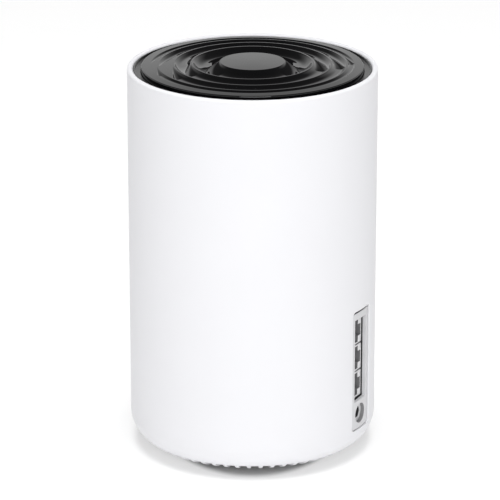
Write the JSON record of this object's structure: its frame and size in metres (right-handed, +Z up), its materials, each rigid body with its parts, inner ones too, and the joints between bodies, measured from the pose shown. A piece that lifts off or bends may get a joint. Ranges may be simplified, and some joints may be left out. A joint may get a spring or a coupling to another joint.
{
  "type": "mesh wifi node",
  "caption": "Tall round white casing with a glossy black swirl top, a vented base and a rear panel with stacked network ports and a power inlet.",
  "frame": {"origin": "on the surface it stands on, under the centre of the casing", "axes": "+Z up along the casing, +Y out of the port panel at the rear, -Y towards the status light at the front"},
  "size_m": [0.124, 0.124, 0.1987],
  "materials": {
    "shell_white": "satin moulded white plastic",
    "base_white": "satin moulded white plastic",
    "bezel_white": "satin moulded white plastic, slightly greyer than the casing",
    "cover_black": "piano black, mirror gloss",
    "trim_black": "black, gloss",
    "foot_rubber": "matt rubber",
    "label_grey": "blank satin film",
    "frame_black": "moulded black plastic",
    "board_green": "solder mask",
    "inlet_body": "black plastic",
    "pin_metal": "plated pin",
    "sink_aluminium": "bare aluminium",
    "screw_steel": "zinc plated",
    "contact_gold": "gold flashed",
    "led_resin": "clear resin on white",
    "pipe_clear": "frosted clear plastic",
    "switch_black": "black plastic",
    "switch_stem": "moulded plastic",
    "button_grey": "moulded grey plastic",
    "coax_jacket": "extruded jacket",
    "antenna_board": "solder mask",
    "chip_resin": "moulded resin",
    "can_tin": "tinned steel",
    "pad_grey": "soft silicone",
    "jack_metal": "nickel plated",
    "jack_plastic": "light grey moulded plastic"
  },
  "bodies": {
    "casing": {"antenna_1": "antenna_board", "antenna_2": "antenna_board", "antenna_3": "antenna_board", "antenna_4": "antenna_board", "antenna_lead_1": "coax_jacket", "antenna_lead_2": "coax_jacket", "antenna_lead_3": "coax_jacket", "antenna_lead_4": "coax_jacket", "base_plate": "base_white", "base_screws": "screw_steel", "chips_left": "chip_resin", "chips_right": "chip_resin", "coax_plugs": "contact_gold", "dc_jack_body": "inlet_body", "dc_jack_pin": "pin_metal", "heat_sink_left": "sink_aluminium", "heat_sink_right": "sink_aluminium", "heat_sink_screws": "screw_steel", "inner_frame": "frame_black", "jack_contacts_1": "contact_gold", "jack_contacts_2": "contact_gold", "jack_contacts_3": "contact_gold", "jack_housing_1": "jack_plastic", "jack_housing_2": "jack_plastic", "jack_housing_3": "jack_plastic", "jack_shield_1": "jack_metal", "jack_shield_2": "jack_metal", "jack_shield_3": "jack_metal", "light_pipe": "pipe_clear", "main_board": "board_green", "outer_shell": "shell_white", "port_bezel": "bezel_white", "rating_label": "label_grey", "reset_switch": "switch_black", "rubber_feet": "foot_rubber", "shield_cans_left": "can_tin", "shield_cans_right": "can_tin", "status_led": "led_resin", "thermal_pads_left": "pad_grey", "thermal_pads_right": "pad_grey", "top_cover": "cover_black", "top_trim_ring": "trim_black", "trim_screws": "screw_steel"},
    "reset_key": {"reset_button": "button_grey", "switch_stem": "switch_stem"}
  },
  "joints": [
    {"name": "reset_press", "type": "slide", "parent": "casing", "child": "reset_key", "axis": [0, 0, 1], "range_m": [0, 0.0006], "stiffness_N_per_m": 1500}
  ]
}
